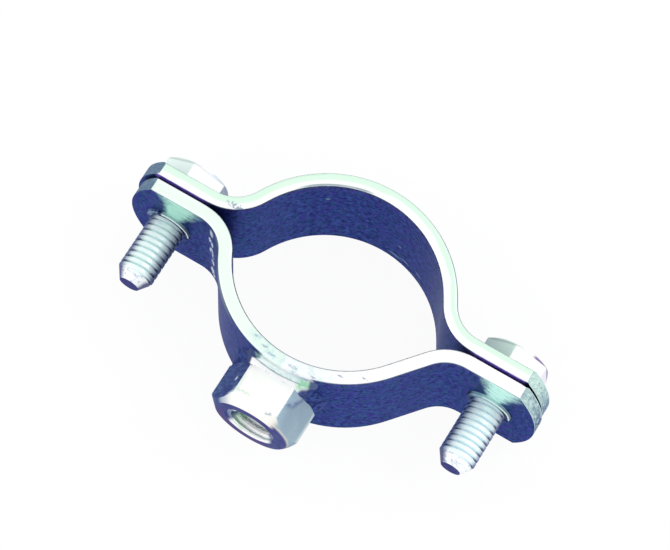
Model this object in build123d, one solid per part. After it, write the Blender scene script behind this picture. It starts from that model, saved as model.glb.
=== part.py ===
from build123d import *
from math import asin, atan2, degrees, hypot, radians, tan
import os

# Two-screw pipe clamp bent from flat steel strip, with a welded hexagonal boss nut.
# X runs along the ears, Y along the screws, Z along the pipe.
# The origin is the centre of the front half's seat, halfway across the strip.

# strip
strip_width = 20.0
strip_thickness = 2.25
strip_edge_radius = 0.5
# the saddle that grips the pipe, and the bends that turn it into the ears
seat_radius = 17.0
bend_radius = 7.0  # to the middle of the strip
seat_set_back = 2.83  # each seat's centre lies this far past the split between the halves
ear_gap = 0.5
# straight length between the saddle and each bend; hand bending leaves them uneven
front_run_left = 0.2
front_run_right = 6.2
back_run_left = 0.5
back_run_right = 1.7
# ears: how far each rounded tip reaches from the middle of the clamp
front_tip_left = 34.6
front_tip_right = 35.8
back_tip_left = 35.1
back_tip_right = 35.5
end_radius_left = 15.2
end_radius_right = 17.0
ear_corner_radius = 0.8
# M6 screws
screw_spacing = 56.0
screw_radius = 2.95
screw_length = 16.4
screw_tip_radius = 1.65
screw_tip_length = 1.9
head_across_flats = 10.0
head_height = 4.1
head_face_radius = 4.85
head_bevel = 30.0
head_edge_radius = 0.25
left_head_turn = -6.0
right_head_turn = -5.0
# holes in the ears
tapped_hole_radius = 3.0
clearance_hole_radius = 3.3
collar_radius = 3.75
collar_height = 0.45
collar_edge_radius = 0.15
# M8 boss nut
boss_offset = -0.8  # it was welded on a little to the left of the middle
boss_across_flats = 13.0
boss_length = 7.35
boss_bore_radius = 4.0
boss_face_radius = 5.9
boss_bevel = 44.0
boss_foot_bevel = 26.0
boss_mouth_radius = 4.35
boss_edge_radius = 0.7
# weld between the boss nut and the strip
weld_foot_radius = 8.3
weld_top_radius = 6.9
weld_height = 1.2
weld_root_depth = 1.9

ring_radius = seat_radius + strip_thickness / 2
ear_mid_height = seat_set_back + ear_gap / 2 + strip_thickness / 2
split_y = -seat_set_back
seat_outer_y = -(seat_radius + strip_thickness)
# the screw heads sit on the back ears
head_seat_y = split_y + ear_gap / 2 + strip_thickness
front_ear_y = split_y - ear_gap / 2 - strip_thickness


def wrap_end_angle(run):
    """Angle above X at which the saddle ends, so that run and bend land on the ear."""
    reach = hypot(ring_radius + bend_radius, run)
    rise = (ear_mid_height + bend_radius) / reach
    return degrees(asin(rise) + atan2(run, ring_radius + bend_radius))


def middle_line(run, tip):
    """Middle of the strip from the top of the saddle out along one ear, seat centre at 0."""
    turn = 90 - wrap_end_angle(run)
    saddle = JernArc(start=(0, ring_radius), tangent=(1, 0), radius=ring_radius, arc_size=-turn)
    straight = Line(saddle @ 1, saddle @ 1 + (saddle % 1) * run)
    bend = JernArc(start=straight @ 1, tangent=straight % 1, radius=bend_radius, arc_size=turn)
    ear = Line(bend @ 1, (tip + strip_thickness, ear_mid_height))
    return saddle + straight + bend + ear


def ear_outline(tip_left, tip_right):
    """Strip seen along the screws: long edges straight, both ends rounded."""
    half = strip_width / 2
    corner_left = end_radius_left - (end_radius_left**2 - half**2) ** 0.5 - tip_left
    corner_right = tip_right - end_radius_right + (end_radius_right**2 - half**2) ** 0.5
    outline = Polyline((corner_right, half), (corner_left, half))
    outline += ThreePointArc((corner_left, half), (-tip_left, 0), (corner_left, -half))
    outline += Line((corner_left, -half), (corner_right, -half))
    outline += ThreePointArc((corner_right, -half), (tip_right, 0), (corner_right, half))
    face = make_face(outline)
    return fillet(face.vertices(), ear_corner_radius)


def bent_strip(run_left, run_right, tip_left, tip_right):
    """One half of the clamp without holes, saddle towards +Y, seat centre at 0."""
    right = middle_line(run_right, tip_right)
    left = mirror(middle_line(run_left, tip_left), about=Plane.YZ)
    profile = trace(left + right, line_width=strip_thickness)
    strip = extrude(profile, amount=strip_width / 2, both=True)
    long_edges = strip.faces().sort_by(Axis.Z)[0].edges() + strip.faces().sort_by(Axis.Z)[-1].edges()
    ends = strip.faces().sort_by(Axis.X)
    end_edges = ends[0].edges() + ends[-1].edges()
    strip = fillet([e for e in long_edges if e not in end_edges], strip_edge_radius)
    blank = extrude(Plane.XZ * ear_outline(tip_left, tip_right), amount=strip_width * 2, both=True)
    return strip & blank


def along_y(radius, start, end, x=0.0):
    """Round bar parallel to the screws, from start to end."""
    length = end - start
    return Pos(x, start + length / 2, 0) * Rot(90, 0, 0) * Cylinder(radius, length)


def screw_sides():
    return (-screw_spacing / 2, screw_spacing / 2)


def front_half():
    """Fixed half: threaded ears, each with the thin collar that forming the hole raised."""
    strip = mirror(bent_strip(front_run_left, front_run_right, front_tip_left, front_tip_right),
                   about=Plane.XZ)
    for x in screw_sides():
        collar = along_y(collar_radius, front_ear_y - collar_height, front_ear_y, x)
        rim = collar.edges().group_by(Axis.Y)[0]
        strip += fillet(rim, collar_edge_radius)
    for x in screw_sides():
        strip -= along_y(tapped_hole_radius, front_ear_y - strip_width, split_y, x)
    return strip


def back_half():
    """Loose half: the screws pass through plain clearance holes."""
    strip = bent_strip(back_run_left, back_run_right, back_tip_left, back_tip_right)
    strip = Pos(0, 2 * split_y, 0) * strip
    for x in screw_sides():
        strip -= along_y(clearance_hole_radius, split_y, head_seat_y + strip_width, x)
    return strip


def hexagon_bar(across_flats, length, edge_radius, turn):
    """Upright hexagonal bar on the XY plane with softened corners; a corner lies on X at turn 0."""
    section = RegularPolygon(across_flats / 2, 6, major_radius=False, rotation=turn)
    return extrude(fillet(section.vertices(), edge_radius), amount=length)


def bevel_envelope(widest, face_radius, length, bevel):
    """Turned shape whose far end is bevelled down to face_radius, bevel degrees from the face."""
    drop = (widest - face_radius) * tan(radians(bevel))
    side = Polyline((0, 0), (widest, 0), (widest, length - drop), (face_radius, length), (0, length),
                    (0, 0))
    return revolve(Plane.XZ * make_face(side), axis=Axis.Z)


def screw(x, head_turn):
    """Hexagon head screw, threaded to the head, with a bevelled lead at the tip."""
    head = hexagon_bar(head_across_flats, head_height, head_edge_radius, 30 + head_turn)
    head &= bevel_envelope(head_across_flats, head_face_radius, head_height, head_bevel)
    shank_end = -(screw_length - screw_tip_length)
    side = Polyline((0, 0), (screw_radius, 0), (screw_radius, shank_end),
                    (screw_tip_radius, -screw_length), (0, -screw_length), (0, 0))
    shank = revolve(Plane.XZ * make_face(side), axis=Axis.Z)
    return Pos(x, head_seat_y, 0) * Rot(-90, 0, 0) * (head + shank)


def boss_solid():
    """Boss nut without its bore, bevelled at both ends, standing on the front of the saddle."""
    bar = hexagon_bar(boss_across_flats, boss_length, boss_edge_radius, 0)
    bar &= bevel_envelope(boss_across_flats, boss_face_radius, boss_length, boss_bevel)
    foot = bevel_envelope(boss_across_flats, boss_face_radius, boss_length, boss_foot_bevel)
    bar &= Pos(0, 0, boss_length) * Rot(180, 0, 0) * foot
    return Pos(boss_offset, seat_outer_y, 0) * Rot(90, 0, 0) * bar


def boss_nut():
    """Threaded boss for the hanger rod, countersunk at its mouth and at its foot."""
    face_y = seat_outer_y - boss_length
    sink_depth = boss_mouth_radius - boss_bore_radius
    nut = boss_solid() - along_y(boss_bore_radius, face_y, seat_outer_y, boss_offset)
    mouth = Cone(boss_bore_radius, boss_mouth_radius, sink_depth)
    foot = Cone(boss_mouth_radius, boss_bore_radius, sink_depth)
    nut -= Pos(boss_offset, face_y + sink_depth / 2, 0) * Rot(90, 0, 0) * mouth
    nut -= Pos(boss_offset, seat_outer_y - sink_depth / 2, 0) * Rot(90, 0, 0) * foot
    return nut


def boss_weld():
    """Bead that fills the wedge between the nut's flat foot and the curved strip."""
    bead_foot_y = seat_outer_y + weld_root_depth
    bead = Cone(weld_foot_radius, weld_top_radius, weld_height + weld_root_depth)
    centre_y = (bead_foot_y + seat_outer_y - weld_height) / 2
    bead = Pos(boss_offset, centre_y, 0) * Rot(90, 0, 0) * bead
    saddle = Cylinder(seat_radius + strip_thickness, 2 * strip_width)
    bead -= saddle
    return bead - boss_solid() - along_y(boss_mouth_radius, seat_outer_y, bead_foot_y, boss_offset)


def save(name, shape):
    solids = shape.solids()
    export_step(solids[0] if len(solids) == 1 else Compound(children=list(solids)),
                f"parts/{name}.step")


os.makedirs("parts", exist_ok=True)
save("front_half", front_half())
save("back_half", back_half())
save("left_screw", screw(-screw_spacing / 2, left_head_turn))
save("right_screw", screw(screw_spacing / 2, right_head_turn))
save("boss_nut", boss_nut())
save("boss_weld", boss_weld())
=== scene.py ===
import bpy, bmesh
from math import asin, atan, atan2, cos, degrees, hypot, pi, radians, sin, sqrt, tan
from mathutils import Matrix, Vector, noise


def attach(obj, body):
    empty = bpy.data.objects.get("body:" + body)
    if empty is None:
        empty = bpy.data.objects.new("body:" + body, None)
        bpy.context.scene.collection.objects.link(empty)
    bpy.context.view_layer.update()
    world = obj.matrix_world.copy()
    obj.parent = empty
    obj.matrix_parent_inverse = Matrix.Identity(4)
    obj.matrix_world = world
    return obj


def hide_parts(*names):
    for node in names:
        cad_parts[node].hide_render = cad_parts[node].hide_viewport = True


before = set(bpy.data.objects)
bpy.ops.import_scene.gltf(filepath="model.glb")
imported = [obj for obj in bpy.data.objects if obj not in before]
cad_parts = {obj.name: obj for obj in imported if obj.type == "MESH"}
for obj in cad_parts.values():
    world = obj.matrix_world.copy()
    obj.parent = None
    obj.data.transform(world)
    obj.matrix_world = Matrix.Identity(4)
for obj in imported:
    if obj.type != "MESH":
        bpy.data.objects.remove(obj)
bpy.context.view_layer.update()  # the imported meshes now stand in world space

mm = 0.001
white = (1.0, 1.0, 1.0, 1.0)
scene = bpy.context.scene
scene.view_settings.view_transform = "Standard"

# Steel strip clamp lying on its side: X along the ears, Y along the screws, Z up.
# Places and sizes in the dictionaries are in mm, unless a note says otherwise.

# camera

view = {
    "place": (0.08515, -0.16831, 0.48757),  # in metres
    "right": (0.85793, 0.51321, 0.02407),
    "down": (0.48586, -0.79518, -0.36281),
    "ahead": (-0.16706, 0.32296, -0.93155),
    "focalPixels": 3469.3,
    "imageWidth": 670,
    "sensor": 36.0,
}


def makeCamera():
    data = bpy.data.cameras.new("stillCamera")
    data.sensor_width = view["sensor"]
    data.lens = view["focalPixels"] * view["sensor"] / view["imageWidth"]
    camera = bpy.data.objects.new("stillCamera", data)
    scene.collection.objects.link(camera)
    axes = (Vector(view["right"]), -Vector(view["down"]), -Vector(view["ahead"]))
    turn = Matrix(axes).transposed().to_4x4()
    camera.matrix_world = Matrix.Translation(Vector(view["place"])) @ turn
    scene.camera = camera


makeCamera()
print("camera ready")

# shader arithmetic


def linear(channel):
    value = channel / 255
    return value / 12.92 if value <= 0.04045 else ((value + 0.055) / 1.055) ** 2.4


def tint(red, green, blue):  # a colour as a paint chart gives it, made linear
    return (linear(red), linear(green), linear(blue), 1.0)


class Wire:  # a node's output that takes part in plain arithmetic
    def __init__(self, nodes, socket):
        self.nodes = nodes
        self.socket = socket

    def op(self, operation, *values, clamp=False):
        return self.nodes.node("ShaderNodeMath", {"operation": operation, "use_clamp": clamp},
                               dict(enumerate(values)))

    def __add__(self, other):
        return self.op("ADD", self, other)

    def __sub__(self, other):
        return self.op("SUBTRACT", self, other)

    def __rsub__(self, other):
        return self.op("SUBTRACT", other, self)

    def __mul__(self, other):
        return self.op("MULTIPLY", self, other)

    def __truediv__(self, other):
        return self.op("DIVIDE", self, other)

    def __gt__(self, other):
        return self.op("GREATER_THAN", self, other)

    def __lt__(self, other):
        return self.op("LESS_THAN", self, other)

    def __abs__(self):
        return self.op("ABSOLUTE", self)

    def __neg__(self):
        return self.op("MULTIPLY", self, -1.0)

    def clip(self):
        return self.op("ADD", self, 0.0, clamp=True)

    def over(self, other):  # the larger of the two
        return self.op("MAXIMUM", self, other)

    __radd__ = __add__
    __rmul__ = __mul__


class Nodes:  # the node tree of a material or of the world
    def __init__(self, owner):
        owner.use_nodes = True
        self.tree = owner.node_tree
        self.tree.nodes.clear()

    def node(self, kind, settings=None, sockets=None, out=0):  # out: one output, or several in ()
        made = self.tree.nodes.new(kind)
        for key, value in (settings or {}).items():
            setattr(made, key, value)
        for key, value in (sockets or {}).items():
            if isinstance(value, Wire):
                self.tree.links.new(value.socket, made.inputs[key])
            else:
                made.inputs[key].default_value = value
        if isinstance(out, tuple):
            return [Wire(self, made.outputs[key]) for key in out]
        return Wire(self, made.outputs[out])

    def cameraSees(self):  # 1 for rays that reach the camera straight, mirrored or through glass
        direct, mirrored, through = self.node("ShaderNodeLightPath", out=(
            "Is Camera Ray", "Is Glossy Ray", "Is Transmission Ray"))
        return direct.over(mirrored).over(through)


plating = {  # what the zinc has in common on every piece
    "specular": 0.3,
    "specularTint": (0.46, 0.48, 0.66, 1.0),
    "bumpDepth": 0.03,
    "bumpStrength": 0.3,
}


class Paint(Nodes):  # one material, with its named tones
    def __init__(self, name, tones):
        self.material = bpy.data.materials.new(name)
        super().__init__(self.material)
        self.tones = tones
        place, facing = self.node("ShaderNodeTexCoord", out=("Object", "Normal"))
        self.spot = self.inMm(place)
        self.x, self.y, self.z = self.parts(self.spot)
        self.nx, self.ny, self.nz = self.parts(facing)

    def inMm(self, vector):
        return self.node("ShaderNodeVectorMath", {"operation": "SCALE"},
                         {0: vector, "Scale": 1 / mm})

    def vector(self, operation, first, second):
        return self.node("ShaderNodeVectorMath", {"operation": operation}, {0: first, 1: second})

    def stretched(self, amounts):  # the place on the object, drawn out differently each way
        return self.vector("MULTIPLY", self.spot, amounts)

    def parts(self, vector):
        return self.node("ShaderNodeSeparateXYZ", sockets={0: vector}, out=(0, 1, 2))

    def joined(self, x, y, z):
        return self.node("ShaderNodeCombineXYZ", sockets={0: x, 1: y, 2: z})

    def ease(self, value, low, high):  # 0 at low, 1 at high, smooth between, either way round
        return self.node("ShaderNodeMapRange", {"interpolation_type": "SMOOTHSTEP"},
                         {0: value, 1: low, 2: high, 3: 0.0, 4: 1.0})

    def band(self, value, low, high, soft):
        return self.ease(value, low - soft, low + soft) * self.ease(value, high + soft, high - soft)

    def mix(self, amount, first, second):  # each colour is a wire or the name of a tone
        first, second = (tint(*self.tones[c]) if isinstance(c, str) else c for c in (first, second))
        return self.node("ShaderNodeMix", {"data_type": "RGBA"}, {0: amount, 6: first, 7: second},
                         out=2)

    def grain(self, vector, scale, detail=3.0, rough=0.55, twist=0.0):
        return self.node("ShaderNodeTexNoise", {"normalize": True},
                         {"Vector": vector, "Scale": scale, "Detail": detail, "Roughness": rough,
                          "Distortion": twist})

    def cells(self, vector, scale):
        return self.node("ShaderNodeTexVoronoi", {"feature": "F1"},
                         {"Vector": vector, "Scale": scale})

    def far(self, x, y):
        square = x * x + y * y
        return square.op("SQRT", square)

    def bearing(self, up, across):  # in degrees, from the across axis towards the up axis
        return up.op("ARCTAN2", up, across) * (180 / pi)

    def dab(self, centre, size, soft):  # an oval mark of given half sizes
        off = self.vector("DIVIDE", self.vector("SUBTRACT", self.spot, centre), size)
        far = self.node("ShaderNodeVectorMath", {"operation": "LENGTH"}, {0: off}, out=1)
        return self.ease(far, 1 + soft, 1 - soft)

    def dabs(self, marks, soft):
        spots = 0.0
        for centre, size in marks:
            spots = self.dab(centre, size, soft).over(spots)
        return spots

    def metal(self, colour, roughness, metallic, height, depth=plating["bumpDepth"],
              strength=plating["bumpStrength"]):
        bump = self.node("ShaderNodeBump", sockets={
            "Height": height, "Distance": depth * mm, "Strength": strength})
        shader = self.node("ShaderNodeBsdfPrincipled", sockets={
            "Base Color": colour, "Roughness": roughness, "Metallic": metallic, "Normal": bump,
            "Specular IOR Level": plating["specular"], "Specular Tint": plating["specularTint"]})
        self.node("ShaderNodeOutputMaterial", sockets={"Surface": shader}, out=())
        return self.material


def dress(thing, material):
    thing.data.materials.clear()
    thing.data.materials.append(material)


# floor, world and lamps

studio = {
    "floorHeight": -10.0,
    "floorSize": 3.0,  # in metres
    "floorCells": 12,
    "floorRoughness": 0.9,
    "floorTones": {"dull": (248, 249, 250), "clear": (253, 253, 253)},
    "floorGlow": 0.94,  # share of plain white in what the camera sees of the floor
    "skyForObject": 0.96,
    "lamps": {  # in metres and watts
        "keyLamp": {"place": (0.6, 0.34, 0.74), "size": 0.55, "power": 2.2},
        "fillLamp": {"place": (-0.6, -0.55, 0.6), "size": 0.9, "power": 0.9},
    },
}


def makeWorld():
    world = bpy.data.worlds.new("paleSurround")
    scene.world = world
    nodes = Nodes(world)
    level = nodes.node("ShaderNodeMapRange", sockets={
        "Value": nodes.cameraSees(), "To Min": studio["skyForObject"], "To Max": 1.0})
    back = nodes.node("ShaderNodeBackground", sockets={"Color": white, "Strength": level})
    nodes.node("ShaderNodeOutputWorld", sockets={"Surface": back}, out=())


def makeFloor():
    mesh = bpy.data.meshes.new("floor")
    floor = bpy.data.objects.new("floor", mesh)
    scene.collection.objects.link(floor)
    shape = bmesh.new()
    cells = studio["floorCells"]
    bmesh.ops.create_grid(shape, x_segments=cells, y_segments=cells, size=studio["floorSize"] / 2)
    shape.to_mesh(mesh)
    shape.free()
    floor.location.z = studio["floorHeight"] * mm
    paint = Paint("floorPaper", studio["floorTones"])
    tone = paint.mix(paint.grain(paint.spot, 0.9, detail=4), "dull", "clear")
    paper = paint.node("ShaderNodeBsdfPrincipled", sockets={
        "Base Color": tone, "Roughness": studio["floorRoughness"]})
    glow = paint.node("ShaderNodeEmission", sockets={"Color": white, "Strength": 1.0})
    share = paint.cameraSees() * studio["floorGlow"]
    lit = paint.node("ShaderNodeMixShader", sockets={0: share, 1: paper, 2: glow})
    paint.node("ShaderNodeOutputMaterial", sockets={"Surface": lit}, out=())
    dress(floor, paint.material)


def makeLamp(name, place, size, power):  # a round lamp that shines on the middle of the clamp
    data = bpy.data.lights.new(name, "AREA")
    data.shape = "DISK"
    data.size = size
    data.energy = power
    lamp = bpy.data.objects.new(name, data)
    scene.collection.objects.link(lamp)
    lamp.location = place
    lamp.rotation_euler = (-Vector(place)).to_track_quat("-Z", "Y").to_euler()


makeWorld()
makeFloor()
for name, lamp in studio["lamps"].items():
    makeLamp(name, **lamp)
print("studio ready")

# bent strips

strip = {
    "thickness": 2.25,
    "seat": 17.0,
    "bend": 7.0,
    "earInner": 3.08,  # from a half's seat centre to the near face of its ears
    "earFrom": 21.0,  # beyond this X the ears are flat
    "endFrom": 31.0,  # beyond this X an end face is a sheared one
    "screwX": 28.0,
    "roughness": 0.34,
    "metallic": 0.92,
    "edgeGrain": (5.0, 0.18, 0.18),  # how fine the rubbing is across and along the edges
}
halves = {
    "front_half": {"seatY": 0.0, "side": -1, "runs": (0.2, 6.2), "mintFrom": (0.0, 1.4),
                   "front": True, "tones": {"endShade": (40, 54, 110)}},
    "back_half": {"seatY": -5.66, "side": 1, "runs": (0.5, 1.7), "mintFrom": (0.42, 0.5),
                  "front": False, "tones": {"endShade": (64, 90, 136)}},
}
stripTones = {
    # rolled faces and their grain, with painted reflection and a painted sheen on them
    "base": (44, 62, 127),
    "low": (40, 54, 104),
    "deep": (16, 28, 92),
    "clear": (72, 98, 172),
    "teal": (32, 106, 104),
    "plum": (74, 42, 156),
    "violet": (80, 76, 152),
    "spark": (150, 178, 206),
    "lighterRun": (58, 78, 142),
    "dim": (34, 46, 98),
    "rightCurve": (54, 78, 110),
    "leftCurve": (62, 84, 140),
    "greyTop": (130, 150, 154),
    "gapSide": (134, 110, 204),
    # narrow edges, painted pale as a highlight, with a painted dark reflection on their rounded
    # corners
    "edgeWhite": (254, 255, 254),
    "edgeMint": (220, 250, 230),
    "edgeGrey": (160, 178, 186),
    "outline": (112, 132, 140),
    "heated": (190, 226, 232),
    "innerRim": (160, 196, 186),
    # sheared ends
    "endGrey": (92, 120, 150),
    "endPale": (186, 214, 206),
    "tearPale": (216, 236, 228),
    "tearDark": (76, 104, 142),
    "endRim": (190, 214, 212),
    # wear, and a painted reflection line
    "nick": (226, 240, 244),
    "fleck": (118, 136, 178),
    "edgeReflection": (158, 176, 182),
    "rubMark": (128, 152, 178),
    "scratch": (138, 166, 182),
    # painted reflection beside the screws, and the collars round them with painted highlights and
    # shade
    "faintFan": (104, 140, 168),
    "fan": (206, 255, 241),
    "fanLeft": (180, 236, 216),
    "fanStreak": (132, 180, 182),
    "collarShade": (66, 84, 128),
    "collarInner": (150, 188, 200),
    "collarLip": (226, 246, 242),
    "collarWall": (170, 222, 210),
    "collarSmear": (156, 182, 204),
    "notch": (30, 38, 84),
}
stripMarks = {  # centre and half sizes of each mark
    "nicks": (((-20.0, -5.9, 7.6), (0.42, 0.6, 1.2)), ((-20.4, -5.7, 4.4), (0.3, 0.6, 0.8)),
              ((-19.9, -5.9, 3.4), (0.3, 0.6, 0.9)), ((-20.1, -5.8, 0.6), (0.42, 0.6, 1.1)),
              ((-19.7, -6.0, -0.9), (0.26, 0.6, 0.9)), ((-19.8, -6.0, -3.6), (0.36, 0.6, 1.1)),
              ((-19.9, -6.0, -7.0), (0.45, 0.6, 1.3)), ((-19.5, -6.1, -8.2), (0.3, 0.6, 0.8))),
    "flecks": (((-3.5, -17.7, 10.0), (0.55, 0.2, 1.0)), ((-2.0, -18.3, 10.0), (0.75, 0.18, 1.0)),
               ((1.7, -18.35, 10.0), (0.8, 0.24, 1.0)), ((2.4, -18.95, 10.0), (0.5, 0.16, 1.0)),
               ((5.0, -18.2, 10.0), (0.45, 0.16, 1.0)), ((-5.3, -16.9, 10.0), (0.5, 0.18, 1.0)),
               ((8.3, -15.95, 10.0), (0.5, 0.16, 1.0)), ((11.6, -14.45, 10.0), (0.5, 0.16, 1.0))),
    "rubMark": ((-18.3, -1.0, 10.0), (1.9, 0.5, 1.0)),
    "scratches": (((2.45, 11.16, -8.0), (1.1, 0.9, 0.28)), ((4.45, 10.75, -7.4), (0.8, 0.9, 0.25)),
                  ((7.36, 9.67, -6.7), (0.7, 0.8, 0.22)), ((-8.6, 9.0, 4.95), (0.3, 0.8, 0.25)),
                  ((3.2, 11.0, -3.5), (0.3, 0.8, 0.22))),
}
collarForm = {
    "reach": (3.92, 3.8),  # out to here the ear counts as collar
    "lip": (3.42, 3.74),
    "wall": (3.7, 3.77),
    "fanAngle": 1.36,  # in radians, as are all angles round a collar
    "fanLean": 0.07,  # how much further the right ear's glow turns
    "fanSpread": 0.29,
    "fanReach": (12.5, 9.5),
    "faintReach": (9.0, 4.5),
}


def acrossStrip(paint, half, away):  # 0 on the face towards the pipe, 1 on the outer face
    thick, seat, bend = strip["thickness"], strip["seat"], strip["bend"]
    middle = seat + thick / 2
    reachX = abs(paint.x)
    saddle = (paint.far(reachX, away) - seat) / thick
    ear = (away - strip["earInner"]) / thick
    sides = []
    for run in half["runs"]:
        rise = (strip["earInner"] + thick / 2 + bend) / hypot(middle + bend, run)
        wrap = asin(rise) + atan2(run, middle + bend)
        outX, outY = cos(wrap), sin(wrap)
        onwards = reachX * outY - away * outX  # distance past the end of the saddle
        level = (reachX * outX + away * outY - seat) / thick
        bendX = (middle + bend) * outX + run * outY
        bendY = (middle + bend) * outY - run * outX
        curl = (bend + thick / 2 - paint.far(reachX - bendX, away - bendY)) / thick
        past = onwards > 0.0
        side = saddle * (1 - past) + level * past
        past = onwards > run
        side = side * (1 - past) + curl * past
        past = reachX > bendX
        sides.append(side * (1 - past) + ear * past)
    right = paint.x > 0.0
    return sides[0] * (1 - right) + sides[1] * right


def frontMarks(paint, face, edge, across):  # wear of the front half
    outer = paint.ease(across, 0.55, 0.8)
    # pale nicks that the bending tool left in the left bend
    torn = paint.ease(paint.grain(paint.stretched((1.6, 1.6, 0.9)), 1.2), 0.38, 0.5)
    face = paint.mix(paint.dabs(stripMarks["nicks"], 0.35) * torn * outer, face, "nick")
    # dark flecks along the top edge, beside the boss and beyond it
    broken = paint.ease(paint.grain(paint.stretched((1.5, 2.6, 1.0)), 1.5, rough=0.7), 0.4, 0.56)
    flecks = paint.dabs(stripMarks["flecks"], 0.6)
    edge = paint.mix((flecks * broken * 0.8).clip(), edge, "fleck")
    # cooler tint where the welding heated the edge
    heated = paint.band(paint.x, -6.5, 7.5, 1.5) * paint.ease(paint.y, -13.0, -16.0)
    cool = paint.ease(paint.grain(paint.spot, 0.8, detail=2), 0.48, 0.62)
    edge = paint.mix(heated * (cool * 0.3 + 0.16), edge, "heated")
    rim = paint.ease(across, 0.11, 0.03) * (abs(paint.x) < 20.0)
    edge = paint.mix(rim * 0.5, edge, "innerRim")
    # the left part of the face is greyer towards its top edge
    grey = paint.ease(paint.z, 6.2, 9.4) * paint.ease(paint.x, -9.0, -13.0) * (abs(paint.x) < 19.0)
    face = paint.mix(grey * outer * 0.75, face, "greyTop")
    return face, edge


def backMarks(paint, face, edge, across):  # wear of the back half, and a painted reflection line along its inner edge
    edgeNoise = paint.grain(paint.joined(across * 4.0, paint.x * 0.3, paint.y * 0.3), 1.0)
    line = paint.band(across, 0.07, 0.17, 0.05) * paint.band(paint.x, -12.0, -2.6, 1.2)
    line = line * (paint.y > 6.0)
    edge = paint.mix((line * (edgeNoise * 1.2 + 0.4)).clip(), edge, "edgeReflection")
    worn = paint.ease(paint.grain(paint.spot, 2.4), 0.42, 0.58)
    edge = paint.mix(paint.dab(*stripMarks["rubMark"], 0.3) * worn * 0.9, edge, "rubMark")
    face = paint.mix(paint.dabs(stripMarks["scratches"], 0.5) * 0.75, face, "scratch")
    return face, edge


def collarMarks(paint, colour, trueX, side, flat):  # raised collars with their painted highlights and shade, and the painted reflection beside each screw
    form = collarForm
    ringFar = paint.far(trueX, paint.z)
    around = paint.z.op("ARCTAN2", paint.z, trueX)
    # a fan of painted reflection of the screw spreads over the ear beside it, with a fainter, wider
    # one round it
    middle = form["fanAngle"] + side * form["fanLean"]
    streaks = paint.grain(paint.joined(paint.x * 0.6, 0.0, paint.z * 1.2), 1.0)
    ragged = (streaks - 0.5) * 0.9 + (paint.grain(paint.spot, 1.3) - 0.5) * 0.8
    fan = paint.ease(abs(around - middle) / form["fanSpread"] + ragged, 1.5, 0.55)
    reach = fan * paint.ease(ringFar, *form["fanReach"]) * flat
    faint = paint.ease(abs(around - middle - 0.1), 0.8, 0.3)
    faint = faint * paint.ease(ringFar, *form["faintReach"])
    colour = paint.mix(faint * flat * 0.4, colour, "faintFan")
    fanReflection = paint.mix(side, "fanLeft", "fan")
    fanReflection = paint.mix(paint.ease(streaks, 0.52, 0.66) * 0.35, fanReflection, "fanStreak")
    colour = paint.mix(reach, colour, fanReflection)
    # lip of the collar: a thin bright arc on its upper right, a painted highlight, with a darker
    # ring inside it, painted shade that turns lighter on the right ear; its wall carries a painted
    # highlight too
    collar = paint.ease(ringFar, *form["reach"])
    collar = collar * (abs(paint.x) > strip["earFrom"]) * (paint.ny < 0.2)
    lipFrom, lipTo = form["lip"]
    lipFrom = lipFrom + paint.ease(around, 0.9, 0.5) * 0.1
    bright = paint.band(ringFar, lipFrom, lipTo, 0.05) * paint.band(around, -0.1, 1.9, 0.1)
    inner = paint.mix(side * paint.band(around, 0.8, 2.5, 0.2), "collarShade", "collarInner")
    ring = paint.mix(bright, inner, "collarLip")
    wall = paint.ease(ringFar, *form["wall"]) * (1 - bright)
    ring = paint.mix(wall * paint.band(around, 0.7, 1.9, 0.15), ring, "collarWall")
    smear = paint.band(around, 1.9, 2.9, 0.2) * (1 - side) * paint.ease(streaks, 0.35, 0.55)
    ring = paint.mix(smear * 0.8, ring, "collarSmear")
    # dark notches of painted shade where the arc stops, the upper one on the left ear alone
    notch = paint.band(around, -0.32, -0.02, 0.05)
    notch = notch.over(paint.band(around, 1.86, 2.06, 0.05) * (1 - side))
    ring = paint.mix(notch * 0.9, ring, "notch")
    lit = bright.over(side * paint.band(around, 1.5, 2.7, 0.2))
    return paint.mix(collar, colour, ring), reach.over(collar * lit)


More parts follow.
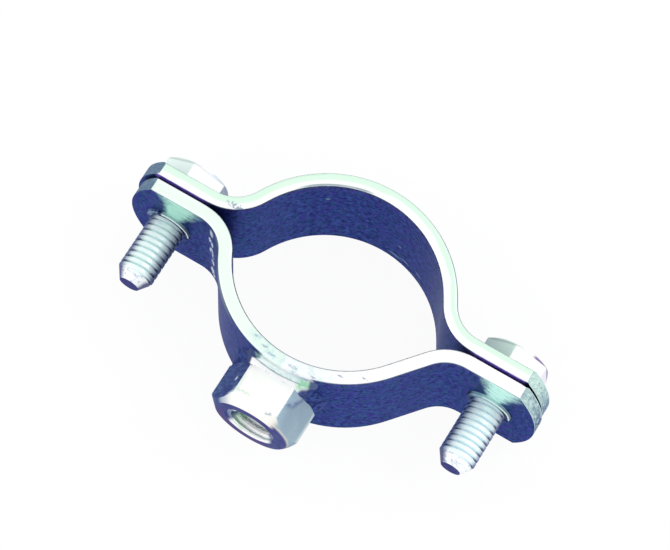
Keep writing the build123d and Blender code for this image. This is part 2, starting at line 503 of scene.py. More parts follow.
def stripPaint(name, half):
    paint = Paint(name + "Zinc", {**stripTones, **half["tones"]})
    front = half["front"]
    away = (paint.y - half["seatY"]) * half["side"]
    reachX = abs(paint.x)
    side = paint.x > 0.0
    across = acrossStrip(paint, half, away)
    upright = abs(paint.nz)
    # rolled faces: short streaks along the strip under a fine grain in four tones; their navy is
    # the plating's blue tint, deepened into a painted dark reflection
    lines = paint.grain(paint.stretched((0.6, 0.6, 1.3)), 1.0, detail=4, rough=0.6, twist=0.4)
    fine = paint.grain(paint.stretched((1.5, 1.5, 1.7)), 1.0, detail=2, rough=0.6)
    green = paint.grain(paint.stretched((1.3, 1.3, 1.4)), 1.1, rough=0.65)
    plum = paint.grain(paint.stretched((1.2, 1.2, 1.3)), 1.2, rough=0.65, twist=0.3)
    face = paint.mix(paint.ease(paint.z, -2.0, -10.0) * 0.45, "base", "low")
    # a lighter violet band near the top edge: painted reflection
    violet = paint.ease(paint.z, 7.6, 9.2) * (reachX < 24.0)
    if front:  # lighter on the right run, darker low in the left bend
        lighterRun = paint.ease(paint.x, 6.0, 12.0) * paint.ease(paint.x, 26.0, 19.0)
        face = paint.mix(lighterRun * 0.6, face, "lighterRun")
        dim = paint.ease(paint.x, -20.5, -22.5) * paint.ease(paint.x, -27.0, -25.0)
        face = paint.mix(dim * paint.ease(paint.z, 4.0, -6.0) * 0.6, face, "dim")
        violet = violet * paint.ease(paint.x, -2.0, 8.0)
    else:  # a greener tone at the right end of the curve and a paler one at the left
        face = paint.mix(paint.ease(paint.x, 9.0, 15.5) * 0.7, face, "rightCurve")
        face = paint.mix(paint.ease(paint.x, -10.0, -15.0) * 0.7, face, "leftCurve")
    face = paint.mix(violet * 0.62, face, "violet")
    rolled = lines * 0.25 + fine * 0.75
    outward = paint.ease(across, 0.4, 0.6)
    lively = (outward if front else 1 - outward) * 0.4 + 0.6
    for grain, full, share, tone in ((rolled, 0.4, 0.72, "deep"), (rolled, 0.6, 0.66, "clear"),
                                     (green, 0.61, 0.76, "teal"), (plum, 0.61, 0.76, "plum")):
        face = paint.mix(paint.ease(grain, 0.5, full) * lively * share, face, tone)
    few = paint.ease(paint.grain(paint.spot, 0.35, detail=1), 0.52, 0.62)
    dots = paint.ease(paint.cells(paint.spot, 0.95), 0.14, 0.06)
    face = paint.mix(dots * few * 0.35, face, "spark")
    # narrow edges, painted pale all round the clamp with a mint border: a painted highlight
    left, right = half["mintFrom"]
    border = side * (right - left) + left
    wander = (paint.grain(paint.spot, 0.3) - 0.5) * 0.26
    mint = paint.ease(across + wander - border, -0.09, 0.11)
    crossGrain, alongX, alongY = strip["edgeGrain"]
    edgeNoise = paint.joined(across * crossGrain, paint.x * alongX, paint.y * alongY)
    edgeNoise = paint.grain(edgeNoise, 1.0, detail=4, rough=0.6)
    if front:
        mint = mint * 0.55
    edge = paint.mix((mint * (edgeNoise * 0.6 + 0.62)).clip(), "edgeWhite", "edgeMint")
    edge = paint.mix(paint.ease(edgeNoise, 0.68, 0.82) * 0.12, edge, "edgeGrey")
    face, edge = (frontMarks if front else backMarks)(paint, face, edge, across)
    # faces that look at each other across the split: a pale violet painted sheen near their rims,
    # lightening the shade in the gap
    ear = paint.ease(reachX, 21.5, 24.0) * paint.ease(reachX, 32.2, 31.4)
    gapSide = paint.ease(across, 0.34, 0.2) * ear
    gapRim = gapSide * paint.ease(abs(paint.z) + (fine - 0.5) * 2.0, 7.4, 9.2)
    gapRim = gapRim * (1 - paint.ease(plum, 0.5, 0.66) * 0.4)
    face = paint.mix(gapRim, face, "gapSide")
    # where the rounded edge turns from face to narrow edge, the edge's painted highlight takes over
    pale = paint.ease(upright - (0.56 - gapSide * 0.16), -0.02, 0.16)
    if front:  # over the boss the edge's painted highlight runs down onto the face
        ragged = (paint.grain(paint.spot, 0.7) - 0.5) * 3.0
        toe = paint.band(paint.x + ragged, -3.6, 5.0, 0.6)
        toe = toe * paint.ease(paint.z + ragged * 0.25, 8.3, 8.9)
        toe = toe * paint.ease(paint.y, -17.5, -18.2)
        pale = pale.over(toe)
    atEnd = reachX > strip["endFrom"]
    pale = pale * (1 - paint.ease(abs(paint.nx), 0.3, 0.45) * atEnd)
    colour = paint.mix(pale, face, edge)
    ends = paint.ease(abs(paint.nx), 0.1, 0.2) * atEnd
    # a darker outline on the rounded corners between face and edge: painted dark reflection
    corner = paint.band(upright, 0.3, 0.56, 0.08) * (1 - ends) * (1 - gapSide) * (1 - pale)
    colour = paint.mix(corner * 0.6, colour, "outline")
    # sheared ends of the ears, the right ones torn; each end is painted lighter towards its top,
    # more so on the right, and darker towards its bottom: painted light and shade
    tear = paint.grain(paint.stretched((1.4, 1.7, 0.8)), 1.3, detail=5, rough=0.7, twist=0.5)
    bright = (paint.ease(paint.z, -6.0, 9.0) * (side * 0.5 + 0.12)).clip()
    if not front:
        bright = (bright + side * 0.35).clip()
    torn = paint.mix(bright, "endGrey", "endPale")
    torn = paint.mix(paint.ease(paint.z, 8.5, -2.5) * 0.95, torn, "endShade")
    torn = paint.mix(paint.ease(tear, 0.5, 0.62) * (side * 0.5 + 0.14), torn, "tearPale")
    torn = paint.mix(paint.ease(tear, 0.48, 0.36) * (side * 0.4 + 0.2), torn, "tearDark")
    torn = paint.mix(paint.ease(abs(across - 0.5), 0.4, 0.47) * side * 0.6, torn, "endRim")
    colour = paint.mix(ends * (1 - pale), colour, torn)
    glow = 0.0
    if front:
        trueX = paint.x - (side * 2.0 - 1.0) * strip["screwX"]
        flat = paint.ease(-paint.ny, 0.7, 0.95) * (reachX > strip["earFrom"]) * (1 - pale)
        colour, glow = collarMarks(paint, colour, trueX, side, flat)
    roughness = strip["roughness"] + lines * 0.16 + ends * (side * 0.4 + 0.2)
    height = (lines * 0.5 + fine * 0.35) * (1 - glow) + tear * ends * 2.0
    # painted tones show as they are written where the metal is turned down
    metallic = strip["metallic"] - ends * (side * 0.7 + 0.2) - gapRim * 0.9 - glow * 0.8
    return paint.metal(colour, roughness, metallic, height)


for name, half in halves.items():
    dress(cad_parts[name], stripPaint(name, half))
    print("finished", name)

# mesh helpers for the turned and threaded pieces

flatWeight = 90  # how strongly large flats hold their normals against the bevels beside them
weldGap = 0.002  # points closer than this become one
longestCut = 0.45  # of a side, so that two rounded corners never meet
flankCurve = 0.35  # how much of a thread's flank is curved


def addPiece(name, shape, material, body, node, sharp, flatFirst=False):
    bmesh.ops.recalc_face_normals(shape, faces=shape.faces[:])
    mesh = bpy.data.meshes.new(name)
    shape.to_mesh(mesh)
    shape.free()
    for polygon in mesh.polygons:
        polygon.use_smooth = True
    mesh.set_sharp_from_angle(angle=radians(sharp))
    piece = bpy.data.objects.new(name, mesh)
    scene.collection.objects.link(piece)
    if flatFirst:  # large flats keep one tone, and the narrow bevels between them do the turning
        weigh = piece.modifiers.new("flatsFirst", "WEIGHTED_NORMAL")
        weigh.weight = flatWeight
        weigh.keep_sharp = True
    mesh.materials.append(material)
    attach(piece, body)
    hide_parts(node)


def clamped(share):
    return min(1.0, max(0.0, share))


def smooth(share):
    return share * share * (3 - 2 * share)


def turned(centreX, radius, angle, y):  # angles grow the way that loosens the screws
    return Vector((centreX + radius * cos(angle), y, -radius * sin(angle))) * mm


def loft(shape, rings, closed=False):  # quads between closed rings of the same number of points
    rows = [[shape.verts.new(point) for point in ring] for ring in rings]
    for low, high in zip(rows, rows[1:] + (rows[:1] if closed else [])):
        for i in range(len(low)):
            j = (i + 1) % len(low)
            shape.faces.new((low[i], low[j], high[j], high[i]))
    return rows


def cap(shape, row):
    centre = shape.verts.new(sum((v.co for v in row), Vector()) / len(row))
    for i in range(len(row)):
        shape.faces.new((row[i], row[(i + 1) % len(row)], centre))


def hexRadius(angle, acrossFlats, cornerRadius):
    half = acrossFlats / 2
    off = abs((angle + pi / 6) % (pi / 3) - pi / 6)  # from the middle of the nearest flat
    inner = half - cornerRadius
    if off <= atan(inner * tan(pi / 6) / half):
        return half / cos(off)
    centre = inner / cos(pi / 6)
    turn = pi / 6 - off
    return centre * cos(turn) + sqrt(max(0.0, cornerRadius ** 2 - (centre * sin(turn)) ** 2))


def hexAngles(flatSteps, cornerSteps, cornerDegrees):  # closer together round the six corners
    corner = radians(cornerDegrees)
    flat = pi / 3 - 2 * corner
    angles = []
    for sector in range(6):
        start = sector * pi / 3 - pi / 6
        for begin, length, steps in ((start, corner, cornerSteps),
                                     (start + corner, flat, flatSteps),
                                     (start + pi / 3 - corner, corner, cornerSteps)):
            angles += [begin + length * i / steps for i in range(steps)]
    return angles


def softened(points, cuts, steps=3):  # rounds the corners of a profile of (radius, height)
    result = [points[0]]
    for before, here, after, cut in zip(points, points[1:], points[2:], cuts):
        a, b, c = Vector(before), Vector(here), Vector(after)
        start = b + (a - b).normalized() * min(cut, (a - b).length * longestCut)
        end = b + (c - b).normalized() * min(cut, (c - b).length * longestCut)
        for i in range(steps + 1):
            t = i / steps
            result.append(tuple(start * (1 - t) ** 2 + b * 2 * t * (1 - t) + end * t ** 2))
    result.append(points[-1])
    return result


def profileRings(centreX, baseY, up, angles, profiles):  # one ring for each point of the profiles
    return [[turned(centreX, radius, angle, baseY + up * height)
             for angle, (radius, height) in zip(angles, ring)] for ring in zip(*profiles)]


def threadDepth(form, angle, y):  # 0 on the crest, 1 in the root
    off = abs((y / form["pitch"] - angle / (2 * pi)) % 1.0 - 0.5) * 2
    share = clamped((off - form["crestShare"]) / (1 - form["crestShare"] - form["rootShare"]))
    return smooth(share) * flankCurve + share * (1 - flankCurve)


def helixSkin(shape, form, centreX, angles, low, high, radiusAt):  # rows of points along the helix
    pitch, perTurn = form["pitch"], form["perTurn"]
    rows = []
    for step in range((int(low / pitch) - 2) * perTurn, (int(high / pitch) + 2) * perTurn + 1):
        row = []
        for angle in angles:
            y = min(high, max(low, (step / perTurn + angle / (2 * pi)) * pitch))
            row.append(shape.verts.new(turned(centreX, radiusAt(angle, y), angle, y)))
        rows.append(row)
    for i, row in enumerate(rows[:-1]):
        for j in range(len(row) - 1):
            shape.faces.new((row[j], row[j + 1], rows[i + 1][j + 1], rows[i + 1][j]))
        if i + perTurn + 1 < len(rows):  # the last column meets the first, one turn further on
            shape.faces.new((row[-1], rows[i + perTurn][0], rows[i + perTurn + 1][0],
                             rows[i + 1][-1]))
    bmesh.ops.remove_doubles(shape, verts=shape.verts[:], dist=weldGap * mm)
    bmesh.ops.dissolve_degenerate(shape, edges=shape.edges[:], dist=weldGap / 2 * mm)


# screws

screwForm = {
    "x": 28.0,
    "seatY": -0.33,
    "length": 16.4,
    "crest": 2.95,
    "root": 2.5,
    "pitch": 1.0,
    "crestShare": 0.56,
    "rootShare": 0.06,
    "crestPaint": (2.58, 2.74),  # radii between which the tone turns from root to crest
    "perTurn": 18,
    "sides": 72,
    "tipRadius": 1.65,
    "tipLength": 1.9,
    "headFlats": 10.0,
    "headHeight": 4.1,
    "headFace": 4.85,
    "headBevel": 30.0,
    "headCorner": 0.25,
    "headSteps": (8, 5, 3.2),  # points on a flat and on half a corner, and the latter's degrees
    "headFoot": (0.02, 0.1),  # how far in and up the head's lowest edge slopes
    "headCuts": (0.05, 0.08, 0.14, 0.12),
    "headDish": (1.2, 0.03),  # radius and depth of the shallow dish in the head's top
    "sharp": 38,  # in degrees: edges that turn more than this stay sharp
    "roughness": 0.34,
    "metallic": 0.3,
    "headTurns": {"left_screw": 6.0, "right_screw": 5.0},
}
screwTones = {
    "hollowTint": (200, 230, 230),
    "nearRoot": (38, 54, 112),
    "farRoot": (58, 74, 126),
    # scuffed lead and end
    "leadDull": (188, 204, 220),
    "leadWhite": (250, 254, 255),
    "pit": (118, 116, 158),
    "leadShade": (74, 80, 126),
    "endDark": (56, 58, 122),
    "endScuff": (120, 116, 164),
    # flats of the head
    "flatWhite": (254, 255, 254),
    "mintCloud": (232, 252, 243),
    "lowRight": (98, 118, 158),
    "farLeft": (120, 150, 172),
    "under": (84, 104, 148),
    "topDull": (96, 118, 160),
    "topClear": (168, 190, 208),
    "seam": (124, 136, 140),
}
screwLooks = {  # shading angles in degrees round the screw, and tones of its own
    "left_screw": {"rise": (6, 52), "fall": (110, 150), "lead": (8, 40), "tones": {
        "near": (58, 80, 128), "beyond": (92, 107, 146), "lit": (236, 252, 250),
        "hollow": (220, 240, 240), "mintHead": (238, 255, 248), "sliver": (214, 226, 234),
        "rim": (206, 220, 230)}},
    "right_screw": {"rise": (0, 44), "fall": (114, 152), "lead": (-60, -20), "tones": {
        "near": (96, 109, 156), "beyond": (84, 106, 156), "lit": (238, 253, 253),
        "hollow": (218, 238, 246), "mintHead": (230, 255, 240), "sliver": (246, 244, 250),
        "rim": (110, 80, 146)}},
}


def screwPaint(name, centreX):
    looks = screwLooks[name]
    paint = Paint(name + "Zinc", {**screwTones, **looks["tones"]})
    place, normal = paint.node("ShaderNodeNewGeometry", out=("Position", "Normal"))
    worldX, worldZ = paint.parts(paint.inMm(place))[::2]
    facingX, facingY, facingZ = paint.parts(normal)
    out = paint.far(paint.x - centreX, paint.z)
    bearing = paint.bearing(worldZ, worldX - centreX)  # side of the screw, as it lies
    seat = screwForm["seatY"]
    tip = seat - screwForm["length"]
    leadEnd = tip + screwForm["tipLength"]
    # crests painted lighter than the roots: painted shade in the grooves
    crest = paint.ease(out, *screwForm["crestPaint"])
    streak = paint.grain(paint.stretched((0.5, 1.6, 0.5)), 1.5, detail=4, rough=0.6)
    shaken = bearing + (streak - 0.5) * 22.0
    # painted shade on the screw's two sides, by where they lie in the world
    upper, below = bearing > -90.0, paint.ease(bearing, -90.0, -110.0)
    nearShade = paint.ease(shaken, *looks["rise"][::-1]) * upper
    farShade = paint.ease(shaken, *looks["fall"]).over(below)
    lit = paint.mix(crest, "hollow", "lit")
    lit = paint.mix(paint.ease(streak, 0.5, 0.7) * 0.3, lit, "hollowTint")
    thread = paint.mix(nearShade, lit, paint.mix(crest, "nearRoot", "near"))
    thread = paint.mix(farShade, thread, paint.mix(crest, "farRoot", "beyond"))
    # scuffed lead, with painted shade on its sides, and the end of the screw painted dark navy, a
    # painted dark reflection
    lead = paint.ease(paint.y, leadEnd - 0.15, leadEnd - 0.5)
    scuff = paint.grain(paint.stretched((1.0, 1.6, 1.0)), 1.3, detail=4, rough=0.65)
    pits = paint.ease(paint.cells(paint.stretched((0.8, 1.3, 0.8)), 1.1), 0.2, 0.1)
    worn = paint.mix(paint.ease(scuff, 0.34, 0.5), "leadDull", "leadWhite")
    worn = paint.mix(pits * paint.ease(scuff, 0.56, 0.46) * 0.7, worn, "pit")
    leadShade = paint.ease(shaken, *looks["lead"][::-1]) * upper
    leadShade = leadShade.over(paint.ease(shaken, 118.0, 150.0)).over(below)
    worn = paint.mix(leadShade * 0.95, worn, "leadShade")
    thread = paint.mix(lead, thread, worn)
    end = paint.ease(-paint.ny, 0.75, 0.9) * (paint.y < tip + 0.4)
    endTone = paint.mix(paint.ease(scuff, 0.5, 0.66) * 0.35, "endDark", "endScuff")
    thread = paint.mix(end, thread, endTone)
    # head: each flat is painted its own tone from the way it faces in the world, as painted light
    # and shade
    facing = paint.bearing(facingZ, facingX)
    cloud = paint.grain(paint.spot, 0.5)
    mint = paint.mix(paint.ease(cloud, 0.45, 0.65) * 0.4, "mintHead", "mintCloud")
    flat = paint.mix(paint.ease(facing, 92.0, 99.0), "flatWhite", mint)
    for low, high, tone in ((38.0, 28.0, "sliver"), (-18.0, -40.0, "lowRight"),
                            (155.0, 165.0, "farLeft"), (-80.0, -100.0, "under")):
        flat = paint.mix(paint.ease(facing, low, high), flat, tone)
    # the head's top has faint turned rings
    face = paint.ease(facingY, 0.9, 0.97)
    swirl = paint.grain(paint.joined(out * 3.0, 0.0, 0.0), 1.0)
    flat = paint.mix(face, flat, paint.mix(swirl, "topDull", "topClear"))
    seam = paint.ease(paint.y, seat + 0.24, seat + 0.06) * paint.ease(out, 4.6, 4.8)
    rim = paint.band(paint.y, 3.1, 3.5, 0.1) * paint.ease(out, 4.7, 4.85)
    flat = paint.mix((seam * 0.6).over(rim * 0.35), flat, "seam")
    # a painted reflection line along the head's rim on its right side
    rimRight = paint.ease(bearing, 66.0, 56.0) * paint.ease(paint.y, 3.18, 3.36)
    flat = paint.mix(rimRight * (bearing > -60.0) * (1 - face) * 0.9, flat, "rim")
    colour = paint.mix(paint.y > seat - 0.01, thread, flat)
    height = streak * 0.5 + scuff * lead * 1.5 + cloud * 0.2
    shade = nearShade.over(farShade) * (1 - lead)
    dark = (end * 0.5).over(shade.over(leadShade * lead) * 0.2) * (paint.y < seat)
    roughness = screwForm["roughness"] + streak * 0.16
    return paint.metal(colour, roughness, screwForm["metallic"] + dark, height)


def makeScrew(name, body, centreX):
    form = screwForm
    shape = bmesh.new()
    tipY = form["seatY"] - form["length"]
    leadY = tipY + form["tipLength"]
    slope = (form["crest"] - form["tipRadius"]) / form["tipLength"]

    def radiusAt(angle, y):
        if y <= tipY:
            return form["tipRadius"]
        if y >= form["seatY"]:
            return form["root"]
        radius = form["crest"] - (form["crest"] - form["root"]) * threadDepth(form, angle, y)
        return min(radius, form["tipRadius"] + (y - tipY) * slope) if y < leadY else radius

    angles = [2 * pi * i / form["sides"] for i in range(form["sides"])]
    helixSkin(shape, form, centreX, angles, tipY, form["seatY"], radiusAt)
    outline = hexAngles(*form["headSteps"])
    height, face = form["headHeight"], form["headFace"]
    footIn, footUp = form["headFoot"]
    dish, dishDepth = form["headDish"]
    profiles = []
    for angle in outline:
        radius = hexRadius(angle, form["headFlats"], form["headCorner"])
        rim = height - (radius - face) * tan(radians(form["headBevel"]))
        points = [(form["root"], 0.0), (radius - footIn, 0.0), (radius, footUp), (radius, rim),
                  (face, height), (dish, height - dishDepth)]
        profiles.append(softened(points, form["headCuts"]))
    turn = radians(form["headTurns"][name])
    angles = [-(angle + turn) for angle in outline]
    rows = loft(shape, profileRings(centreX, form["seatY"], 1, angles, profiles))
    cap(shape, rows[-1])
    holes = [edge for edge in shape.edges if edge.is_boundary]
    bmesh.ops.holes_fill(shape, edges=holes, sides=0)
    addPiece(name + "_threaded", shape, screwPaint(name, centreX), body, name,
             form["sharp"], flatFirst=True)


makeScrew("left_screw", "left_screw_body", -screwForm["x"])
makeScrew("right_screw", "right_screw_body", screwForm["x"])
print("screws ready")

# boss nut

bossForm = {
    "x": -0.8,
    "footY": -19.25,
    "flats": 13.0,
    "corner": 0.7,
    "length": 7.35,
    "face": 5.9,
    "bevel": 44.0,
    "footBevel": 26.0,
    "mouth": 4.35,
    "root": 4.0,
    "crest": 3.42,
    "pitch": 1.25,
    "crestShare": 0.34,
    "rootShare": 0.12,
    "perTurn": 12,
    "steps": (9, 6, 3.4),
    "cuts": (0.05, 0.1, 0.12, 0.2, 0.15, 0.1),
    "flatLean": (0.5, 0.866),  # cosine and sine of the side flats' slope
    "paleY": 24.2,  # how far forward the left flat turns pale
    "paleDown": 3.75,  # its upper corner lies this far above its middle
    "sharp": 40,
    "roughness": 0.3,
    "metallic": 0.8,
}
bossTones = {
    # top flat and its marks
    "topWhite": (255, 255, 253),
    "topMint": (243, 253, 246),
    "greenSmear": (176, 218, 186),
    "paleSmear": (190, 222, 206),
    "plumFleck": (146, 138, 190),
    "greyFleck": (160, 176, 186),
    # left flat
    "leftNavy": (46, 62, 122),
    "leftBlue": (72, 98, 146),
    "leftScratch": (112, 150, 166),
    "frontDull": (150, 172, 194),
    "frontPale": (238, 246, 244),
    "leftSpot": (206, 216, 226),
    # right flat
    "rightGrey": (158, 180, 195),
    "rightClear": (170, 194, 202),
    "rightUpper": (182, 210, 224),
    "footCap": (190, 216, 230),
    "darkSmear": (100, 114, 166),
    "rightRim": (226, 240, 240),
    # hidden flats
    "underDull": (108, 134, 166),
    "underClear": (150, 176, 194),
    # bevel
    "bevelWarm": (238, 234, 222),
    "bevelWhite": (255, 254, 250),
    "bevelGrey": (190, 202, 214),
    "bevelNavy": (76, 90, 142),
    "bevelInner": (78, 84, 140),
    "bevelLine": (206, 206, 200),
    "bevelOuter": (160, 186, 198),
    "bevelUnder": (84, 84, 142),
    # ring of the face
    "ring": (60, 66, 130),
    "ringClear": (80, 90, 142),
    "ringScratch": (104, 112, 164),
    "ringLow": (92, 68, 128),
    "rimPlum": (96, 62, 142),
    "rimRed": (118, 48, 122),
    # threaded bore
    "crest": (255, 255, 255),
    "root": (110, 146, 150),
    "boreMint": (150, 222, 168),
    "boreSide": (76, 96, 146),
    "mouth": (60, 68, 130),
}
bossMarks = {  # centre and half sizes
    "greenSmear": ((-3.3, -24.3, 6.5), (1.2, 0.28, 1.0)),
    "paleSmear": ((-4.3, -23.4, 6.5), (0.4, 1.6, 1.0)),
    "plumFleck": ((1.0, -19.6, 6.5), (0.8, 0.4, 1.0)),
    "greyFleck": ((1.75, -25.6, 6.5), (0.6, 0.55, 1.0)),
    "leftSpot": ((-5.4, -22.6, 5.0), (0.3, 0.35, 0.35)),
}


def bossPaint():
    form = bossForm
    paint = Paint("bossZinc", bossTones)
    offX = paint.x - form["x"]
    out = paint.far(offX, paint.z)
    facing = paint.bearing(paint.nz, paint.nx)
    bearing = paint.bearing(paint.z, offX)
    scratch = paint.grain(paint.stretched((0.6, 1.8, 0.6)), 1.0, detail=5, rough=0.65)
    cloud = paint.grain(paint.spot, 0.4)
    speckle = paint.ease(paint.grain(paint.spot, 1.4, detail=4, rough=0.7), 0.42, 0.58)
    # top flat: painted almost white, a painted highlight, with a few marks
    top = paint.mix(paint.ease(cloud, 0.55, 0.7) * 0.4, "topWhite", "topMint")
    green = paint.dab(*bossMarks["greenSmear"], 0.6) * speckle * 0.7
    top = paint.mix(green, top, "greenSmear")
    top = paint.mix(paint.dab(*bossMarks["paleSmear"], 0.6) * 0.35, top, "paleSmear")
    top = paint.mix(paint.dab(*bossMarks["plumFleck"], 0.4) * speckle, top, "plumFleck")
    grey = paint.dab(*bossMarks["greyFleck"], 0.5) * speckle * 0.8
    top = paint.mix(grey, top, "greyFleck")
    half, rising = form["flatLean"]
    # left flat: painted navy, a painted dark reflection, scratched, paler at its front upper corner
    down = -offX * half - paint.z * rising  # down the flat, 0 in its middle
    slope = (paint.y + form["paleY"]) * 0.9 + (down + form["paleDown"]) * 0.75
    leftFlat = paint.mix(paint.ease(scratch, 0.42, 0.6), "leftNavy", "leftBlue")
    leftFlat = paint.mix(paint.ease(scratch, 0.58, 0.7) * 0.6, leftFlat, "leftScratch")
    paleFront = paint.mix(paint.ease(scratch, 0.42, 0.58), "frontDull", "frontPale")
    leftFlat = paint.mix(paint.ease(slope, 0.4, -0.5), leftFlat, paleFront)
    leftFlat = paint.mix(paint.dab(*bossMarks["leftSpot"], 0.5), leftFlat, "leftSpot")
    # right flat: even blue-grey, painted lighter towards its upper edge as painted light
    rise = paint.z * rising - offX * half  # up the flat, 0 in its middle
    rightFlat = paint.mix(paint.ease(cloud, 0.4, 0.7) * 0.5, "rightGrey", "rightClear")
    rightFlat = paint.mix(paint.ease(rise, 1.2, 3.4) * 0.55, rightFlat, "rightUpper")
    # the bevel at the foot leaves a lighter cap with a smeared arc round it
    arc = paint.far((rise - 3.6) / 3.05, (paint.y - form["footY"]) / 3.6)
    rightFlat = paint.mix(paint.ease(arc, 1.0, 0.86) * 0.6, rightFlat, "footCap")
    smear = paint.band(arc, 0.8, 1.04, 0.12) * paint.ease(rise, 3.5, 2.9)
    smear = smear * (paint.y < form["footY"])
    rightFlat = paint.mix((smear * (speckle * 0.45 + 0.3)).clip(), rightFlat, "darkSmear")
    # pale lines along the flat's rounded edges: painted highlight
    rim = paint.ease(rise, -2.9, -3.45).over(paint.ease(rise, 3.35, 3.6))
    rightFlat = paint.mix(rim * 0.7, rightFlat, "rightRim")
    under = paint.mix(cloud, "underDull", "underClear")
    # each flat takes its tone from the way it faces: painted light and shade
    colour = paint.mix(paint.ease(facing, 68.0, 54.0), top, rightFlat)
    colour = paint.mix(paint.ease(facing, 112.0, 126.0), colour, leftFlat)
    below = paint.ease(facing, 4.0, -12.0).over(paint.ease(facing, 176.0, 179.5))
    colour = paint.mix(below, colour, under)
    # bevel round the face: painted pale at the upper corners as a painted highlight, otherwise as
    # the flat and the face beside it
    slant = paint.ease(-paint.ny, 0.35, 0.6) * paint.ease(out, 4.8, 5.2)
    bevel = paint.mix(paint.ease(bearing, 48.0, 66.0), "bevelWarm", "bevelWhite")
    bevel = paint.mix(paint.ease(bearing, 120.0, 140.0), bevel, "bevelGrey")
    bevel = paint.mix(paint.ease(bearing, 138.0, 156.0), bevel, "bevelNavy")
    rightBevel = paint.mix(paint.ease(out, 6.15, 6.4), "bevelInner", "bevelLine")
    rightBevel = paint.mix(paint.ease(out, 6.4, 6.6), rightBevel, "bevelOuter")
    bevel = paint.mix(paint.ease(bearing, 58.0, 46.0), bevel, rightBevel)
    bevel = paint.mix(paint.ease(bearing, -4.0, -30.0), bevel, "bevelUnder")
    colour = paint.mix(slant, colour, bevel)
    # flat ring round the mouth, painted navy as a painted dark reflection
    ring = paint.mix(paint.ease(cloud, 0.4, 0.62), "ring", "ringClear")
    ring = paint.mix(paint.ease(scratch, 0.5, 0.66) * 0.35, ring, "ringScratch")
    lower = paint.ease(bearing, -30.0, -80.0).over(paint.ease(bearing, 165.0, 179.0))
    ring = paint.mix(lower * 0.7, ring, "ringLow")
    rimLine = paint.band(out, 5.6, 6.0, 0.12)
    ring = paint.mix(rimLine * paint.band(bearing, 40.0, 110.0, 14.0) * 0.6, ring, "rimPlum")
    ring = paint.mix(rimLine * paint.band(bearing, -140.0, -90.0, 20.0) * 0.7, ring, "rimRed")
    front = paint.ease(-paint.ny, 0.84, 0.95).over(paint.ease(out, 4.8, 4.6))
    colour = paint.mix(front, colour, ring)
    # threaded bore, in painted light and shade: bright crests and dark roots below, painted mint
    # glints, and navy painted shade on its two sides and round the mouth
    mouth, deepest = form["mouth"], form["root"]
    bore = paint.ease(out, mouth + 0.02, mouth - 0.05)
    root = paint.band(out, deepest - 0.1, deepest + 0.02, 0.06)
    glint = paint.mix(root * 0.6, "crest", "root")
    mintSide = paint.ease(bearing, -100.0, -128.0) * paint.ease(scratch, 0.42, 0.56)
    glint = paint.mix(mintSide * 0.8, glint, "boreMint")
    sides = paint.band(bearing, -34.0, 6.0, 10.0).over(paint.ease(bearing, -138.0, -154.0))
    sides = sides.over(paint.ease(bearing, 138.0, 152.0))
    glint = paint.mix(sides * 0.9, glint, "boreSide")
    sunk = paint.ease(out, deepest + 0.01, deepest + 0.05)
    rimTurn = paint.ease(bearing, -34.0, -16.0).over(paint.ease(bearing, -140.0, -160.0))
    glint = paint.mix(sunk * rimTurn * 0.92, glint, "mouth")
    colour = paint.mix(bore, colour, glint)
    height = scratch * 0.4 + cloud * 0.3
    metallic = form["metallic"] - bore * (1 - sunk * rimTurn) * 0.75
    return paint.metal(colour, form["roughness"] + scratch * 0.15, metallic, height)


def makeBoss():
    form = bossForm
    root, mouth, face, length = form["root"], form["mouth"], form["face"], form["length"]
    sink = mouth - root
    outline = hexAngles(*form["steps"])
    profiles = []
    for angle in outline:
        radius = hexRadius(angle, form["flats"], form["corner"])
        drop = (radius - face) * tan(radians(form["bevel"]))
        lift = (radius - face) * tan(radians(form["footBevel"]))
        points = [(root, sink), (mouth, 0.0), (face, 0.0), (radius, lift), (radius, length - drop),
                  (face, length), (mouth, length), (root, length - sink)]
        profiles.append(softened(points, form["cuts"]))
    shape = bmesh.new()
    angles = [-(angle + pi / 6) for angle in outline]
    loft(shape, profileRings(form["x"], form["footY"], -1, angles, profiles))
    low, high = form["footY"] - length + sink, form["footY"] - sink

    def boreRadius(angle, y):
        if not low < y < high:
            return root
        return form["crest"] + (root - form["crest"]) * threadDepth(form, angle, y)

    helixSkin(shape, form, form["x"], angles[::-1], low, high, boreRadius)
    addPiece("boss_nut_threaded", shape, bossPaint(), "fixed_side", "boss_nut",
             form["sharp"], flatFirst=True)


makeBoss()
print("boss ready")

# weld round the foot of the boss

weldForm = {
    "x": -0.8,
    "footY": -19.25,
    "outer": 8.0,
    "crown": 1.0,
    "steps": 220,
    "sectionSteps": 9,
    "ripples": 34,
    "rippleHeight": 0.02,
    "rough": 0.2,
    "swellScale": 2.3,
    "wobbleScale": 5,
    "sagPower": 0.7,
    "stripOuter": 19.25,
    "upTo": 9.35,  # over the boss the bead runs out almost to the strip's edge
    "upFrom": (38.0, 56.0),  # in degrees, as is the next
    "upUntil": (112.0, 132.0),
    "tuck": 0.25,  # how far the bead starts inside the boss
    "underTuck": 0.3,
    "underShares": (0.8, 0.3),
    "sunk": 0.05,  # the toe ends this deep in the strip
    "deepestSunk": 0.06,
    "underSunk": 0.25,
    "sharp": 60,
    "roughness": 0.4,
    "metallic": 0.7,
    "bumpDepth": 0.05,
    "bumpStrength": 0.4,
}
weldTones = {
    "pale": (226, 246, 244),
    "white": (250, 255, 254),
    "smooth": (254, 255, 254),
    "line": (122, 146, 160),
    "green": (168, 238, 184),
    "flashNavy": (46, 64, 118),
    "flashBlue": (92, 118, 154),
    "leftNavy": (44, 62, 114),
    "leftTeal": (118, 160, 156),
    "lowDeep": (26, 40, 100),
    "lowClear": (58, 80, 146),
    "dross": (84, 106, 140),
}
weldMarks = {
    "green": ((3.8, -18.7, 7.6), (1.1, 1.5, 2.0)),
    "teal": ((-3.9, -18.9, 8.6), (0.7, 1.0, 0.8)),
}


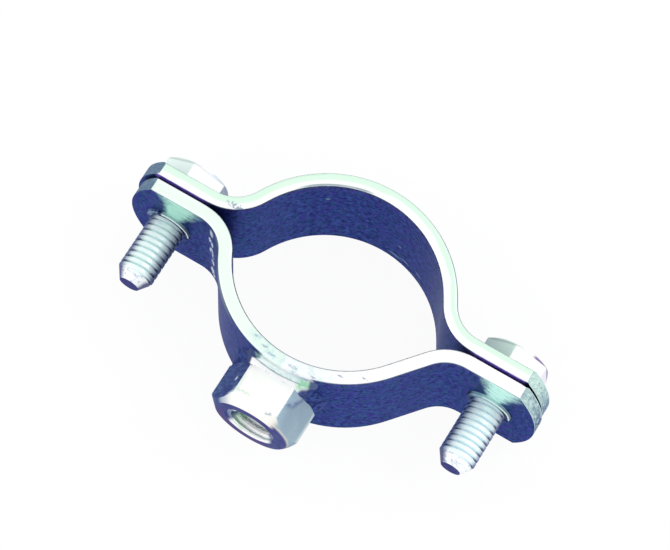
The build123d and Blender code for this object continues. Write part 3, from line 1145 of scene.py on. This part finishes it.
def weldPaint():
    form = weldForm
    paint = Paint("weldZinc", weldTones)
    blot = paint.grain(paint.spot, 0.9, detail=4, rough=0.6, twist=0.5)
    dross = paint.cells(paint.spot, 1.1)
    colour = paint.mix(paint.ease(blot, 0.42, 0.62), "pale", "white")
    # the smooth run above the boss is painted almost white, a painted highlight, with a grey line
    # where it meets the flat
    wander = (paint.grain(paint.spot, 0.5, detail=2) - 0.5) * 0.4
    colour = paint.mix(paint.ease(paint.z + wander, 7.4, 7.1), colour, "smooth")
    line = paint.band(paint.z + wander, 7.3, 7.55, 0.1)
    colour = paint.mix(line * 0.75, colour, "line")
    # a painted green highlight on the bead's right corner
    green = paint.ease(paint.grain(paint.stretched((1.1, 0.9, 0.5)), 1.2), 0.4, 0.58)
    corner = paint.dab(*weldMarks["green"], 0.35)
    colour = paint.mix(corner * (green * 0.75 + 0.12), colour, "green")
    # navy at both sides of the smooth run and all the way below it: painted dark reflection
    flash = paint.ease(paint.x, 4.5, 5.0)
    colour = paint.mix(flash * 0.95, colour, paint.mix(blot, "flashNavy", "flashBlue"))
    height = paint.ease(paint.z, 6.9, 8.2)
    left = paint.ease(paint.x, -4.6 + height * 1.4, -5.0 + height * 1.2)
    leftTone = paint.mix(paint.dab(*weldMarks["teal"], 0.4), "leftNavy", "leftTeal")
    colour = paint.mix(left * 0.97, colour, leftTone)
    low = paint.ease(paint.z - paint.ease(paint.x, 3.0, 4.2) * 1.3, 5.6, 4.4)
    speck = paint.grain(paint.stretched((1.5, 1.5, 1.7)), 1.0, detail=2, rough=0.6)
    dim = paint.mix(paint.ease(speck, 0.4, 0.6), "lowDeep", "lowClear")
    colour = paint.mix(low * 0.96, colour, dim)
    colour = paint.mix(paint.ease(dross, 0.22, 0.1) * 0.3, colour, "dross")
    return paint.metal(colour, form["roughness"] + blot * 0.2, form["metallic"],
                       blot + dross * 0.5, form["bumpDepth"], form["bumpStrength"])


def weldReach(angle, swell):  # how far from the boss's axis the bead's toe lies
    form = weldForm
    toe = form["outer"] + swell
    (riseFrom, riseTo), (fallFrom, fallTo) = form["upFrom"], form["upUntil"]
    rise = clamped((degrees(angle) - riseFrom) / (riseTo - riseFrom))
    fall = clamped((fallTo - degrees(angle)) / (fallTo - fallFrom))
    share = smooth(min(rise, fall))
    if share == 0:
        return toe
    top = (form["upTo"] + swell * 0.3) / max(0.5, sin(angle))
    return toe + (top - toe) * share


def weldSpot(angle, radius):  # X and Z at a distance from the boss's axis, and the strip's Y
    x, z = weldForm["x"] + radius * cos(angle), radius * sin(angle)
    return x, z, -sqrt(weldForm["stripOuter"] ** 2 - x ** 2)


def makeWeld():
    form = weldForm
    rings = []
    for i in range(form["steps"]):
        angle = 2 * pi * i / form["steps"]
        seed = Vector((cos(angle), sin(angle), 0.3))
        swell = noise.noise(seed * form["swellScale"]) * form["rough"] * 2
        wobble = 2 * noise.noise(seed * form["wobbleScale"])
        wave = 0.5 + 0.5 * cos(angle * form["ripples"] + wobble)
        ripple = wave ** 2 * form["rippleHeight"]
        foot = weldReach(angle, swell) + ripple
        wall = hexRadius(angle + pi / 6, bossForm["flats"], bossForm["corner"])
        topY = form["footY"] - form["crown"] * (1 + swell)
        section = []
        for step in range(form["sectionSteps"] + 1):
            share = step / form["sectionSteps"]
            x, z, skinY = weldSpot(angle, (wall - form["tuck"]) * (1 - share) + foot * share)
            sag = sin(share * pi / 2) ** form["sagPower"]
            y = topY * (1 - sag) + (skinY + form["sunk"]) * sag - ripple * sin(share * pi)
            section.append(Vector((x, min(y, skinY + form["deepestSunk"]), z)) * mm)
        for share in form["underShares"]:  # underside, inside the strip
            x, z, skinY = weldSpot(angle, (wall - form["underTuck"]) * (1 - share) + foot * share)
            section.append(Vector((x, skinY + form["underSunk"], z)) * mm)
        rings.append(section)
    shape = bmesh.new()
    loft(shape, rings, closed=True)
    addPiece("boss_weld_bead", shape, weldPaint(), "fixed_side", "boss_weld", form["sharp"])


makeWeld()
print("weld ready")
